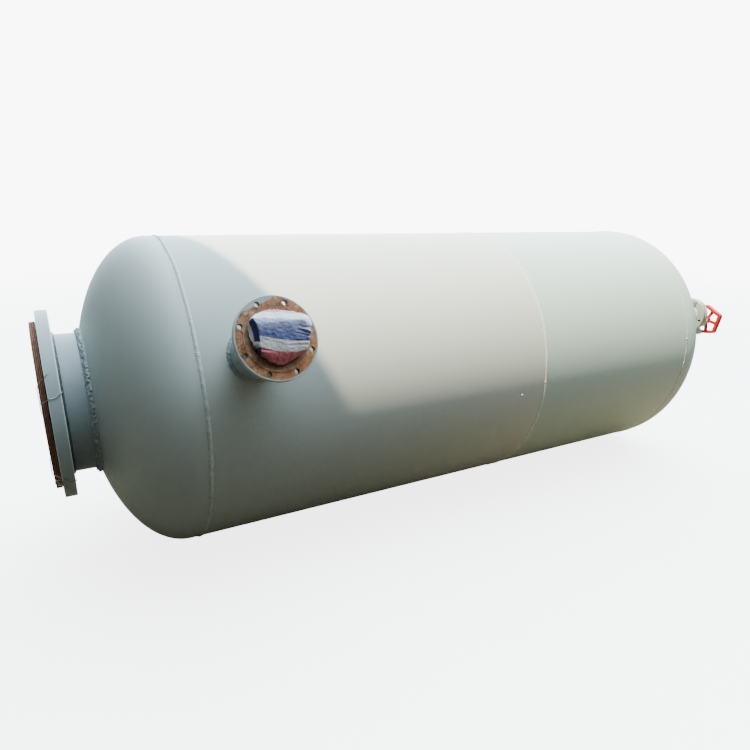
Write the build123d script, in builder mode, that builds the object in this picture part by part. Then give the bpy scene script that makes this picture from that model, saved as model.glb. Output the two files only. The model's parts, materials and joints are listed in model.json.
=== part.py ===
"""Horizontal pressure tank: two rolled courses, two dished heads and three flanged nozzles.

The origin is the centre of the bolting face on the large end flange. +X runs along the
tank's axis into the vessel, +Z is up, and -Y is the side that carries the side nozzle.
"""

import os
from math import cos, hypot, radians, sin, sqrt

from build123d import *

os.makedirs("parts", exist_ok=True)

# Shell and heads
shell_diameter = 1570.0
shell_wall = 12.0
left_course_length = 1938.0
right_course_length = 1295.0
head_straight = 40.0
head_depth = 392.5

# Butt welds of the shell
cap_width = 18.0
cap_height = 2.5
groove_width = 15.0
root_gap = 3.0
left_seam_angle = 52.0
right_seam_angle = 96.0
seam_bite = 3.0

# End nozzle, on the tank's axis
end_face_to_seam = 574.0
end_neck_wall = 12.0
end_neck_inside = 20.0
end_flange_diameter = 910.0
end_flange_width = 117.0
end_flange_thickness = 54.0
end_face_height = 5.0
end_bolt_to_edge = 35.0
end_bolt_to_face = 23.0
end_bolt_hole = 30.0
end_bolt_count = 24
end_weld_leg = 18.0
end_flange_weld_leg = 10.0
end_pipe_setback = 12.0

# Plywood disc over the end flange
cover_diameter = 806.0
cover_thickness = 25.0

# Side nozzle
side_nozzle_from_seam = 238.0
side_nozzle_rise = 22.7
side_face_radius = 1099.0
side_neck_diameter = 219.1
side_neck_wall = 8.0
side_neck_inside = 20.0
side_flange_diameter = 340.0
side_flange_thickness = 24.0
side_face_height = 3.0
side_bolt_to_edge = 22.5
side_bolt_to_face = 13.5
side_bolt_hole = 22.0
side_bolt_count = 8
side_weld_leg = 12.0
side_flange_weld_leg = 7.0
side_pipe_setback = 8.0

# Bag stuffed into the side nozzle
bag_clearance = 0.3
bag_depth = 120.0
bag_width = 248.0
bag_height = 204.0
bag_corner = 78.0
bag_shift = 14.0
bag_bulge = 58.0
bag_taper = 24.0
bag_edge = 20.0
bag_turn = -8.0

# Outlet nozzle on the right head
outlet_offset = 350.0
outlet_rise = 161.0
outlet_stand_off = 295.0
outlet_neck_diameter = 139.7
outlet_neck_wall = 6.3
outlet_neck_inside = 20.0
outlet_flange_diameter = 250.0
outlet_flange_thickness = 22.0
outlet_face_height = 2.0
outlet_bolt_to_edge = 22.5
outlet_bolt_to_face = 23.5
outlet_bolt_hole = 22.0
outlet_bolt_count = 4
outlet_bolt_start = 20.0
outlet_weld_leg = 13.0
outlet_flange_weld_leg = 6.0
outlet_pipe_setback = 6.5
gasket_thickness = 2.0
stud_diameter = 20.0
stud_overhang = 5.0
stud_nut_flats = 30.0
stud_nut_height = 16.0

# Angle valve on the outlet
valve_reach = 98.0
valve_drop = 62.0
valve_radius = 54.0
valve_wall = 10.0
valve_inlet_bore = 70.0
valve_shoulder = 96.0
valve_outlet_length = 95.0
valve_outlet_boss = 70.0
valve_outlet_bore = 48.0
valve_outlet_flats = 84.0
valve_outlet_nut = 34.0
bonnet_diameter = 92.0
bonnet_reach = 58.0
bonnet_thickness = 14.0
bonnet_bore = 44.0
bonnet_neck_diameter = 48.0
bonnet_neck_length = 21.0
bonnet_bolt_circle = 70.0
bonnet_bolt_count = 4
bonnet_bolt_diameter = 10.0
bonnet_bolt_depth = 18.0
bonnet_bolt_flats = 17.0
bonnet_bolt_head = 7.0
packing_nut_flats = 40.0
packing_nut_height = 14.0
stem_diameter = 20.0
stem_clearance = 0.05
stem_inside = 54.0
plug_diameter = 30.0
plug_thickness = 10.0

# Handwheel with five lobes
wheel_gap = 8.0
wheel_tip_radius = 122.0
wheel_lobe_radius = 26.0
wheel_rim_width = 23.0
wheel_rim_depth = 34.0
wheel_web_depth = 14.0
wheel_hub_diameter = 54.0
wheel_hub_length = 34.0
wheel_spoke_width = 21.0
wheel_turn = 12.0
wheel_edge = 3.0
wheel_window_corner = 6.0
wheel_lobes = 5
wheel_nut_flats = 30.0
wheel_nut_height = 14.0
wheel_thread_diameter = 16.0
wheel_thread_overhang = 4.0

# Allowance round a pipe in its slip-on flange, and the chamfer on the flanges' edges
slip_clearance = 0.5
flange_edge = 2.0
weld_crown = 0.56

# Radii and places worked out from the sizes above
shell_radius = shell_diameter / 2
inner_radius = shell_radius - shell_wall
left_seam = end_face_to_seam - end_face_height
middle_seam = left_seam + left_course_length
right_seam = middle_seam + right_course_length
end_neck_diameter = end_flange_diameter - 2 * end_flange_width
end_bolt_circle = end_flange_diameter - 2 * end_bolt_to_edge
end_face_diameter = end_bolt_circle - 2 * end_bolt_to_face
side_bolt_circle = side_flange_diameter - 2 * side_bolt_to_edge
side_face_diameter = side_bolt_circle - 2 * side_bolt_to_face
outlet_bolt_circle = outlet_flange_diameter - 2 * outlet_bolt_to_edge
outlet_face_diameter = outlet_bolt_circle - 2 * outlet_bolt_to_face


def head_reach(radius, inset=0.0):
    """Distance of a head's surface from its seam, at a radius from the tank's axis."""
    across = sqrt(1 - (radius / (shell_radius - inset)) ** 2)
    return head_straight + (head_depth - inset) * across


# Sealing planes, each on a flange's face with its normal pointing out of the nozzle
outlet_radius = hypot(outlet_offset, outlet_rise)
outlet_foot = right_seam + head_reach(outlet_radius)
rise = radians(side_nozzle_rise)
side_out = Vector(0, -cos(rise), sin(rise))
side_axis = Plane(
    origin=(left_seam + side_nozzle_from_seam, 0, 0), x_dir=(1, 0, 0), z_dir=side_out
)
end_plane = Plane(origin=(-end_face_height, 0, 0), x_dir=(0, -1, 0), z_dir=(-1, 0, 0))
side_plane = side_axis.offset(side_face_radius)
outlet_plane = Plane(
    origin=(outlet_foot + outlet_stand_off, -outlet_offset, outlet_rise),
    x_dir=(0, 1, 0),
    z_dir=(1, 0, 0),
)
valve_plane = outlet_plane.offset(gasket_thickness)
stem_plane = Plane(
    origin=valve_plane.origin + Vector(valve_reach, 0, -valve_drop),
    x_dir=(0, 1, 0),
    z_dir=(1, 0, 0),
)


def write(piece, name):
    """Name a finished piece and save it in a file of its own."""
    piece.part.label = name
    export_step(piece.part, f"parts/{name}.step")


def ring_section(plane):
    """Half-plane through a nozzle's axis: across is radius, up is along the normal."""
    return Plane(origin=plane.origin, x_dir=plane.x_dir, z_dir=-plane.y_dir)


def tube(plane, start, end, diameter, wall):
    """Pipe along a plane's normal, from one distance to another."""
    with BuildPart() as pipe:
        with BuildSketch(plane.offset(start)):
            Circle(diameter / 2)
            Circle(diameter / 2 - wall, mode=Mode.SUBTRACT)
        extrude(amount=end - start)
    return pipe


def fillet_ring(plane, radius, leg, radial, axial):
    """Fillet weld round an axis, in the corner that lies on the plane at a radius."""
    with BuildPart() as weld:
        with BuildSketch(ring_section(plane)):
            with BuildLine():
                foot = (radius + radial * leg, 0)
                top = (radius, axial * leg)
                crown = (radius + radial * leg * weld_crown, axial * leg * weld_crown)
                ThreePointArc(foot, crown, top)
                Polyline(top, (radius, 0), foot)
            make_face()
        revolve(axis=Axis(plane.origin, plane.z_dir))
    return weld


def slip_on_flange(plane, diameter, thickness, face, height, bore, circle, hole, count, start):
    """Flat ring with a raised face on the plane, drilled for its bolts."""
    with BuildPart() as flange:
        with BuildSketch(plane.offset(-height)):
            Circle(diameter / 2)
            with PolarLocations(circle / 2, count, start):
                Circle(hole / 2, mode=Mode.SUBTRACT)
        extrude(amount=-thickness)
        rims = flange.edges().filter_by(GeomType.CIRCLE)
        chamfer(rims.filter_by(lambda edge: edge.radius > diameter / 2 - 1), flange_edge)
        with BuildSketch(plane.offset(-height)):
            Circle(face / 2)
        extrude(amount=height)
        with BuildSketch(plane):
            Circle(bore / 2)
        extrude(amount=-thickness - height, mode=Mode.SUBTRACT)
    return flange


def dished_head(seam, side, nozzle, hole):
    """Half-ellipsoid with a straight edge, bevelled for its weld and cut for a nozzle."""
    tangent = seam + side * head_straight
    crown = tangent + side * head_depth
    turn = -90 * side
    with BuildPart() as head:
        with BuildSketch(Plane.XZ):
            with BuildLine():
                centre = (tangent, 0)
                EllipticalCenterArc(centre, head_depth, shell_radius, 90, arc_size=turn)
                EllipticalCenterArc(
                    centre, head_depth - shell_wall, inner_radius, 90, arc_size=turn
                )
                Polyline(
                    (tangent, shell_radius),
                    (seam + side * groove_width / 2, shell_radius),
                    (seam + side * root_gap / 2, inner_radius),
                    (tangent, inner_radius),
                )
                Line((crown, 0), (crown - side * shell_wall, 0))
            make_face()
        revolve(axis=Axis.X)
        with BuildSketch(nozzle):
            Circle(hole / 2)
        extrude(amount=-abs(nozzle.origin.X - seam), mode=Mode.SUBTRACT)
    return head


def rolled_course(start, end):
    """Cylinder rolled from plate, bevelled at both ends."""
    with BuildPart() as course:
        with BuildSketch(Plane.XZ):
            with BuildLine():
                Polyline(
                    (start + groove_width / 2, shell_radius),
                    (end - groove_width / 2, shell_radius),
                    (end - root_gap / 2, inner_radius),
                    (start + root_gap / 2, inner_radius),
                    close=True,
                )
            make_face()
        revolve(axis=Axis.X)
    return course


def girth_weld(seam):
    """Weld that fills the bevels of a girth seam, with a low cap outside."""
    with BuildPart() as weld:
        with BuildSketch(Plane.XZ):
            with BuildLine():
                left = (seam - cap_width / 2, shell_radius)
                right = (seam + cap_width / 2, shell_radius)
                ThreePointArc(left, (seam, shell_radius + cap_height), right)
                Polyline(
                    right,
                    (seam + groove_width / 2, shell_radius),
                    (seam + root_gap / 2, inner_radius),
                    (seam - root_gap / 2, inner_radius),
                    (seam - groove_width / 2, shell_radius),
                    left,
                )
            make_face()
        revolve(axis=Axis.X)
    return weld


def long_weld(start, end, angle):
    """Cap of a course's lengthwise seam, laid on the shell at an angle from +Y."""
    out = Vector(0, cos(radians(angle)), sin(radians(angle)))
    along = Vector(1, 0, 0)
    foot = Plane(
        origin=along * (start + cap_width / 2) + out * shell_radius,
        x_dir=out.cross(along),
        z_dir=along,
    )
    length = end - start - cap_width
    half = cap_width / 2
    with BuildPart() as weld:
        with BuildSketch(foot):
            with BuildLine():
                ThreePointArc((-half, 0), (0, cap_height), (half, 0))
                Polyline((half, 0), (half, -seam_bite), (-half, -seam_bite), (-half, 0))
            make_face()
        extrude(amount=length)
        with BuildSketch(Plane.YZ.offset(start)):
            Circle(shell_radius)
        extrude(amount=end - start, mode=Mode.SUBTRACT)
    return weld


# Heads, courses and their welds
left_head = dished_head(left_seam, -1, end_plane, end_neck_diameter)
right_head = dished_head(right_seam, 1, outlet_plane, outlet_neck_diameter)
right_shell_course = rolled_course(middle_seam, right_seam)

with BuildPart() as left_shell_course:
    add(rolled_course(left_seam, middle_seam).part)
    with BuildSketch(side_axis):
        Circle(side_neck_diameter / 2)
    extrude(amount=side_face_radius, mode=Mode.SUBTRACT)

left_girth_weld = girth_weld(left_seam)
middle_girth_weld = girth_weld(middle_seam)
right_girth_weld = girth_weld(right_seam)
left_course_weld = long_weld(left_seam, middle_seam, left_seam_angle)
right_course_weld = long_weld(middle_seam, right_seam, right_seam_angle)

# End nozzle with its plate flange and plywood cover
end_neck_radius = end_neck_diameter / 2
end_foot = left_seam - head_reach(end_neck_radius)
end_neck = tube(
    end_plane,
    -end_pipe_setback,
    -end_face_height - end_foot - shell_wall - end_neck_inside,
    end_neck_diameter,
    end_neck_wall,
)
end_flange = slip_on_flange(
    end_plane,
    end_flange_diameter,
    end_flange_thickness,
    end_face_diameter,
    end_face_height,
    end_neck_diameter + 2 * slip_clearance,
    end_bolt_circle,
    end_bolt_hole,
    end_bolt_count,
    180 / end_bolt_count,
)
end_flange_back = end_plane.offset(-end_face_height - end_flange_thickness)
end_flange_back_weld = fillet_ring(
    end_flange_back, end_neck_radius, end_flange_weld_leg, 1, -1
)
end_flange_face_weld = fillet_ring(
    end_plane.offset(-end_pipe_setback),
    end_neck_radius + slip_clearance,
    end_flange_weld_leg,
    -1,
    1,
)

with BuildPart() as end_neck_weld:
    toe = end_neck_radius + end_weld_leg
    toe_foot = left_seam - head_reach(toe)
    with BuildSketch(Plane.XZ):
        with BuildLine():
            start = (end_foot - end_weld_leg, end_neck_radius)
            finish = (toe_foot, toe)
            crown = (
                end_foot - end_weld_leg * weld_crown,
                end_neck_radius + end_weld_leg * weld_crown,
            )
            ThreePointArc(start, crown, finish)
            Polyline(
                finish,
                (toe_foot + shell_wall / 2, toe),
                (end_foot + shell_wall / 2, end_neck_radius),
                start,
            )
        make_face()
    revolve(axis=Axis.X)
    add(left_head.part, mode=Mode.SUBTRACT)

with BuildPart() as plywood_cover:
    with BuildSketch(end_plane):
        Circle(cover_diameter / 2)
    extrude(amount=cover_thickness)

# Side nozzle, stuffed with a bag
side_neck_radius = side_neck_diameter / 2
side_neck = tube(
    side_axis,
    inner_radius - side_neck_inside,
    side_face_radius - side_pipe_setback,
    side_neck_diameter,
    side_neck_wall,
)
side_flange = slip_on_flange(
    side_plane,
    side_flange_diameter,
    side_flange_thickness,
    side_face_diameter,
    side_face_height,
    side_neck_diameter + 2 * slip_clearance,
    side_bolt_circle,
    side_bolt_hole,
    side_bolt_count,
    180 / side_bolt_count,
)
side_flange_back_weld = fillet_ring(
    side_plane.offset(-side_face_height - side_flange_thickness),
    side_neck_radius,
    side_flange_weld_leg,
    1,
    -1,
)
side_flange_face_weld = fillet_ring(
    side_plane.offset(-side_pipe_setback),
    side_neck_radius + slip_clearance,
    side_flange_weld_leg,
    -1,
    1,
)

# The shell falls away on both sides of the nozzle, so the weld's cone starts lower
side_saddle = shell_radius - sqrt(shell_radius**2 - (side_neck_radius + side_weld_leg) ** 2)
side_dip = 2 * side_saddle
with BuildPart() as side_neck_weld:
    with Locations(side_axis.offset(shell_radius - side_dip)):
        Cone(
            side_neck_radius + side_weld_leg + side_dip,
            side_neck_radius,
            side_weld_leg + side_dip,
            align=(Align.CENTER, Align.CENTER, Align.MIN),
        )
    with BuildSketch(Plane.YZ):
        Circle(shell_radius)
    extrude(amount=middle_seam, mode=Mode.SUBTRACT)
    with BuildSketch(side_axis):
        Circle(side_neck_radius)
    extrude(amount=side_face_radius, mode=Mode.SUBTRACT)

with BuildPart() as striped_bag:
    with BuildSketch(side_plane.offset(bag_clearance)):
        with Locations((bag_shift, 0)):
            RectangleRounded(bag_width, bag_height, bag_corner, rotation=bag_turn)
    extrude(amount=bag_bulge, taper=bag_taper)
    fillet(striped_bag.faces().sort_by(Axis(side_plane.origin, side_out))[-1].edges(), bag_edge)
    with BuildSketch(side_plane.offset(bag_clearance)):
        Circle(side_neck_radius - side_neck_wall - bag_clearance)
    extrude(amount=-bag_depth)

# Outlet nozzle on the right head
outlet_neck_radius = outlet_neck_diameter / 2
outlet_neck = tube(
    outlet_plane,
    -outlet_pipe_setback,
    -outlet_stand_off - shell_wall - outlet_neck_inside,
    outlet_neck_diameter,
    outlet_neck_wall,
)
outlet_flange = slip_on_flange(
    outlet_plane,
    outlet_flange_diameter,
    outlet_flange_thickness,
    outlet_face_diameter,
    outlet_face_height,
    outlet_neck_diameter + 2 * slip_clearance,
    outlet_bolt_circle,
    outlet_bolt_hole,
    outlet_bolt_count,
    outlet_bolt_start,
)
outlet_flange_back_weld = fillet_ring(
    outlet_plane.offset(-outlet_face_height - outlet_flange_thickness),
    outlet_neck_radius,
    outlet_flange_weld_leg,
    1,
    -1,
)
outlet_flange_face_weld = fillet_ring(
    outlet_plane.offset(-outlet_pipe_setback),
    outlet_neck_radius + slip_clearance,
    outlet_flange_weld_leg,
    -1,
    1,
)

# The weld at the head is a cone square to the head's slope where the neck goes in
slope = Vector(
    (head_reach(outlet_radius) - head_straight) / head_depth**2,
    -outlet_offset / shell_radius**2,
    outlet_rise / shell_radius**2,
)
outlet_foot_plane = Plane(
    origin=(outlet_foot, -outlet_offset, outlet_rise), x_dir=(0, 1, 0), z_dir=slope
)
outlet_dip = shell_wall / 2
with BuildPart() as outlet_neck_weld:
    with Locations(outlet_foot_plane.offset(-outlet_dip)):
        Cone(
            outlet_neck_radius + outlet_weld_leg + outlet_dip,
            outlet_neck_radius,
            outlet_weld_leg + outlet_dip,
            align=(Align.CENTER, Align.CENTER, Align.MIN),
        )
    with BuildSketch(outlet_plane):
        Circle(outlet_neck_radius)
    extrude(amount=right_seam - outlet_plane.origin.X, mode=Mode.SUBTRACT)
    add(right_head.part, mode=Mode.SUBTRACT)

outlet_gasket = tube(
    outlet_plane,
    0,
    gasket_thickness,
    outlet_face_diameter,
    outlet_face_diameter / 2 - outlet_neck_radius,
)

# Valve body: flange, upright chamber, bonnet boss behind and screwed outlet below
valve_back = outlet_face_height + outlet_flange_thickness
chamber = Plane(origin=stem_plane.origin, x_dir=(1, 0, 0), z_dir=(0, -1, 0))
outlet_down = Plane(origin=stem_plane.origin, x_dir=(1, 0, 0), z_dir=(0, 0, -1))


def capsule(radius):
    """Upright chamber with round ends, one level with the inlet and one with the stem."""
    with BuildPart() as solid:
        with BuildSketch(chamber):
            with BuildLine():
                CenterArc((0, valve_drop), radius, 0, 90)
                Line((radius, valve_drop), (radius, 0))
                CenterArc((0, 0), radius, -90, 90)
                Line((0, -radius), (0, valve_drop + radius))
            make_face()
        revolve(axis=Axis(chamber.origin, (0, 0, 1)))
    return solid.part


with BuildPart() as valve_body:
    with BuildSketch(valve_plane.offset(outlet_face_height)):
        Circle(outlet_flange_diameter / 2)
        with PolarLocations(outlet_bolt_circle / 2, outlet_bolt_count, outlet_bolt_start):
            Circle(outlet_bolt_hole / 2, mode=Mode.SUBTRACT)
    extrude(amount=outlet_flange_thickness)
    rims = valve_body.edges().filter_by(GeomType.CIRCLE)
    chamfer(
        rims.filter_by(lambda edge: edge.radius > outlet_flange_diameter / 2 - 1), flange_edge
    )
    with BuildSketch(valve_plane):
        Circle(outlet_face_diameter / 2)
    extrude(amount=outlet_face_height)
    with BuildSketch(valve_plane.offset(valve_back)):
        Circle(valve_shoulder / 2)
    extrude(amount=valve_reach - valve_back)
    with BuildSketch(stem_plane):
        Circle(bonnet_diameter / 2)
    extrude(amount=bonnet_reach)
    with BuildSketch(outlet_down):
        Circle(valve_outlet_boss / 2)
    extrude(amount=valve_outlet_length)
    add(capsule(valve_radius))
    with BuildSketch(outlet_down.offset(valve_outlet_length - valve_outlet_nut)):
        RegularPolygon(valve_outlet_flats / 2, 6, major_radius=False)
    extrude(amount=valve_outlet_nut)
    add(capsule(valve_radius - valve_wall), mode=Mode.SUBTRACT)
    with BuildSketch(valve_plane):
        Circle(valve_inlet_bore / 2)
    extrude(amount=valve_reach, mode=Mode.SUBTRACT)
    with BuildSketch(outlet_down):
        Circle(valve_outlet_bore / 2)
    extrude(amount=valve_outlet_length, mode=Mode.SUBTRACT)
    with BuildSketch(stem_plane):
        Circle(bonnet_bore / 2)
    extrude(amount=bonnet_reach, mode=Mode.SUBTRACT)
    with BuildSketch(stem_plane.offset(bonnet_reach)):
        with PolarLocations(bonnet_bolt_circle / 2, bonnet_bolt_count, 180 / bonnet_bolt_count):
            Circle(bonnet_bolt_diameter / 2)
    extrude(amount=-bonnet_bolt_depth, mode=Mode.SUBTRACT)

bonnet_top = bonnet_reach + bonnet_thickness
with BuildPart() as bonnet:
    with BuildSketch(stem_plane.offset(bonnet_reach)):
        Circle(bonnet_diameter / 2)
        with PolarLocations(bonnet_bolt_circle / 2, bonnet_bolt_count, 180 / bonnet_bolt_count):
            Circle(bonnet_bolt_diameter / 2, mode=Mode.SUBTRACT)
    extrude(amount=bonnet_thickness)
    with BuildSketch(stem_plane.offset(bonnet_top)):
        Circle(bonnet_neck_diameter / 2)
    extrude(amount=bonnet_neck_length)
    with BuildSketch(stem_plane.offset(bonnet_reach)):
        Circle(stem_diameter / 2 + stem_clearance)
    extrude(amount=bonnet_thickness + bonnet_neck_length, mode=Mode.SUBTRACT)

with BuildPart() as bonnet_bolts:
    with BuildSketch(stem_plane.offset(bonnet_reach - bonnet_bolt_depth)):
        with PolarLocations(bonnet_bolt_circle / 2, bonnet_bolt_count, 180 / bonnet_bolt_count):
            Circle(bonnet_bolt_diameter / 2)
    extrude(amount=bonnet_bolt_depth + bonnet_thickness)
    with BuildSketch(stem_plane.offset(bonnet_top)):
        with PolarLocations(bonnet_bolt_circle / 2, bonnet_bolt_count, 180 / bonnet_bolt_count):
            RegularPolygon(bonnet_bolt_flats / 2, 6, major_radius=False)
    extrude(amount=bonnet_bolt_head)

packing_foot = bonnet_top + bonnet_neck_length
with BuildPart() as packing_nut:
    with BuildSketch(stem_plane.offset(packing_foot)):
        RegularPolygon(packing_nut_flats / 2, 6, major_radius=False)
        Circle(stem_diameter / 2 + stem_clearance, mode=Mode.SUBTRACT)
    extrude(amount=packing_nut_height)

# Two studs hold the valve: the two holes that the photograph shows are empty
nut_foot = outlet_face_height + outlet_flange_thickness
grip = 2 * nut_foot + gasket_thickness
with BuildPart() as outlet_studs:
    with BuildSketch(outlet_plane.offset(-nut_foot - stud_nut_height - stud_overhang)):
        with PolarLocations(outlet_bolt_circle / 2, 2, outlet_bolt_start + 90):
            Circle(stud_diameter / 2)
    extrude(amount=grip + 2 * (stud_nut_height + stud_overhang))
    for foot, length in ((-nut_foot, -stud_nut_height), (grip - nut_foot, stud_nut_height)):
        with BuildSketch(outlet_plane.offset(foot)):
            with PolarLocations(outlet_bolt_circle / 2, 2, outlet_bolt_start + 90):
                RegularPolygon(stud_nut_flats / 2, 6, major_radius=False)
        extrude(amount=length)

# Stem, handwheel and its nut turn together
wheel_foot = packing_foot + packing_nut_height + wheel_gap
with BuildPart() as valve_stem:
    with BuildSketch(stem_plane.offset(bonnet_reach - stem_inside - plug_thickness)):
        Circle(plug_diameter / 2)
    extrude(amount=plug_thickness)
    with BuildSketch(stem_plane.offset(bonnet_reach - stem_inside)):
        Circle(stem_diameter / 2)
    extrude(amount=wheel_foot + wheel_hub_length - bonnet_reach + stem_inside)
    with BuildSketch(stem_plane.offset(wheel_foot + wheel_hub_length)):
        Circle(wheel_thread_diameter / 2)
    extrude(amount=wheel_nut_height + wheel_thread_overhang)

corner_radius = wheel_tip_radius + wheel_lobe_radius * (1 / cos(radians(36)) - 1)
rim_apothem = corner_radius * cos(radians(180 / wheel_lobes))
web_foot = wheel_foot + (wheel_hub_length - wheel_web_depth) / 2
with BuildPart() as handwheel:
    with BuildSketch(stem_plane.offset(wheel_foot)):
        with BuildSketch(mode=Mode.PRIVATE) as window:
            RegularPolygon(
                rim_apothem - wheel_rim_width,
                wheel_lobes,
                major_radius=False,
                rotation=wheel_turn,
            )
            fillet(window.vertices(), wheel_window_corner)
        with BuildSketch(mode=Mode.PRIVATE) as lobes:
            RegularPolygon(corner_radius, wheel_lobes, rotation=wheel_turn)
            fillet(lobes.vertices(), wheel_lobe_radius)
        add(lobes.sketch)
        add(window.sketch, mode=Mode.SUBTRACT)
    extrude(amount=wheel_rim_depth)
    fillet(handwheel.faces().filter_by(Axis.X).edges(), wheel_edge)
    with BuildSketch(stem_plane.offset(web_foot)):
        with PolarLocations(rim_apothem / 2, wheel_lobes, wheel_turn + 180 / wheel_lobes):
            Rectangle(rim_apothem - wheel_rim_width, wheel_spoke_width)
    extrude(amount=wheel_web_depth)
    with BuildSketch(stem_plane.offset(wheel_foot)):
        Circle(wheel_hub_diameter / 2)
    extrude(amount=wheel_hub_length)
    with BuildSketch(stem_plane.offset(wheel_foot)):
        Circle(stem_diameter / 2)
    extrude(amount=wheel_hub_length, mode=Mode.SUBTRACT)

with BuildPart() as handwheel_nut:
    with BuildSketch(stem_plane.offset(wheel_foot + wheel_hub_length)):
        RegularPolygon(wheel_nut_flats / 2, 6, major_radius=False)
        Circle(wheel_thread_diameter / 2, mode=Mode.SUBTRACT)
    extrude(amount=wheel_nut_height)

write(left_head, "left_head")
write(right_head, "right_head")
write(left_shell_course, "left_shell_course")
write(right_shell_course, "right_shell_course")
write(left_girth_weld, "left_girth_weld")
write(middle_girth_weld, "middle_girth_weld")
write(right_girth_weld, "right_girth_weld")
write(left_course_weld, "left_course_weld")
write(right_course_weld, "right_course_weld")
write(end_neck, "end_neck")
write(end_neck_weld, "end_neck_weld")
write(end_flange, "end_flange")
write(end_flange_back_weld, "end_flange_back_weld")
write(end_flange_face_weld, "end_flange_face_weld")
write(plywood_cover, "plywood_cover")
write(side_neck, "side_neck")
write(side_neck_weld, "side_neck_weld")
write(side_flange, "side_flange")
write(side_flange_back_weld, "side_flange_back_weld")
write(side_flange_face_weld, "side_flange_face_weld")
write(striped_bag, "striped_bag")
write(outlet_neck, "outlet_neck")
write(outlet_neck_weld, "outlet_neck_weld")
write(outlet_flange, "outlet_flange")
write(outlet_flange_back_weld, "outlet_flange_back_weld")
write(outlet_flange_face_weld, "outlet_flange_face_weld")
write(outlet_gasket, "outlet_gasket")
write(outlet_studs, "outlet_studs")
write(valve_body, "valve_body")
write(bonnet, "bonnet")
write(bonnet_bolts, "bonnet_bolts")
write(packing_nut, "packing_nut")
write(valve_stem, "valve_stem")
write(handwheel, "handwheel")
write(handwheel_nut, "handwheel_nut")
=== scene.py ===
"""Horizontal pressure tank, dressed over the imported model.

Lengths are metres in the model's own frame: +X along the tank's axis, +Z up, and the
side nozzle on the -Y side. The sizes below are those of the solids.
"""

import json

import bmesh
import bpy
import numpy as np
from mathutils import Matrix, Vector

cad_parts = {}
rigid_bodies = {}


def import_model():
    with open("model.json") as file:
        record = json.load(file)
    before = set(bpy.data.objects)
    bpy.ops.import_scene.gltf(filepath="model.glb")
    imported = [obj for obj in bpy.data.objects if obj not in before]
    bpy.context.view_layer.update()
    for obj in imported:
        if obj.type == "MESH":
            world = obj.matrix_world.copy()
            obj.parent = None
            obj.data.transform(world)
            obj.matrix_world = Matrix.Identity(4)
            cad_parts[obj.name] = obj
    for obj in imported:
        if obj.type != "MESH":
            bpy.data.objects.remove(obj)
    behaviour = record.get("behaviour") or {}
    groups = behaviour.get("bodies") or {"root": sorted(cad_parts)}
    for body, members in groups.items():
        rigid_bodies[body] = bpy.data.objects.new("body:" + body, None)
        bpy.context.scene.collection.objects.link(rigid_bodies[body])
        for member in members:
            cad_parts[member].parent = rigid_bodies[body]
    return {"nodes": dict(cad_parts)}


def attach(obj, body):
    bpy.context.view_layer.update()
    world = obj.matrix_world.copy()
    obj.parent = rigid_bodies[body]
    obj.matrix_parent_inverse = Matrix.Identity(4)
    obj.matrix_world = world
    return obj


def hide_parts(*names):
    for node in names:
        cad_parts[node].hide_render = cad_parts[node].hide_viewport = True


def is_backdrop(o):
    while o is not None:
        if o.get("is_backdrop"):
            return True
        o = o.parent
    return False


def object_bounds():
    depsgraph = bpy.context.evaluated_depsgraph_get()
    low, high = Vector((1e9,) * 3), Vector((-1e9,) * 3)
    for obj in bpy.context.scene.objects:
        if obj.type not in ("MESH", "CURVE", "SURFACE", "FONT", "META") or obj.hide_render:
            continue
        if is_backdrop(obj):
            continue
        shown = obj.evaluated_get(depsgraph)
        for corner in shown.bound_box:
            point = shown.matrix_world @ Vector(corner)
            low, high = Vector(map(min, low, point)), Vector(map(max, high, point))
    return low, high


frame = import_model()
solids_low, solids_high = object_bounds()

SHELL = 0.785
HEAD_STRAIGHT = 0.040
HEAD_DEPTH = 0.3925
LEFT_SEAM = 0.569
MIDDLE_SEAM = 2.507
RIGHT_SEAM = 3.802
END_NECK = 0.338
END_RIM = 0.455
END_BACK = 0.054
COVER = 0.403
COVER_INSIDE = -0.005
COVER_OUTSIDE = -0.030
PLY = 0.00357
NOZZLE_X = 0.807
NOZZLE_RISE = np.radians(22.7)
NOZZLE_PIPE = 0.10955
NOZZLE_FACE = 1.099
NOZZLE_BACK = 1.072
NOZZLE_HOLES = 8
NOZZLE_CIRCLE = 0.1475
HOLE_EDGE = 0.0118
SEAT_EDGE = 0.130
OUTLET_Y = -0.350
OUTLET_Z = 0.161
OUTLET_PIPE = 0.06985
OUTLET_BACK = 4.45498
TOE_DEPTH = 0.0015
BEAD_PITCH = 0.010
BEAD_STEP = 0.0022
SEAM_GAP = 0.009
SMALL_DROPS = 90
BAG_MIDDLE = np.array([0.012, 0.0])
FOLD_BEND = 2.2
FLOOR = -0.7876
FLOOR_X = 2.2

# Colours of the cloth
CLOTH_PINK = (0.86, 0.40, 0.46)
CLOTH_WHITE = (0.94, 0.94, 0.95)
CLOTH_BLUE = (0.43, 0.42, 0.66)
CLOTH_DEEP_BLUE = (0.120, 0.130, 0.37)
# Painted shade: the blue of the fold in shadow, nearly navy
CLOTH_SHADED_BLUE = (0.030, 0.032, 0.17)
CLOTH_GREY = (0.80, 0.71, 0.70)
CLOTH_RED = (0.64, 0.150, 0.175)

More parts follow.
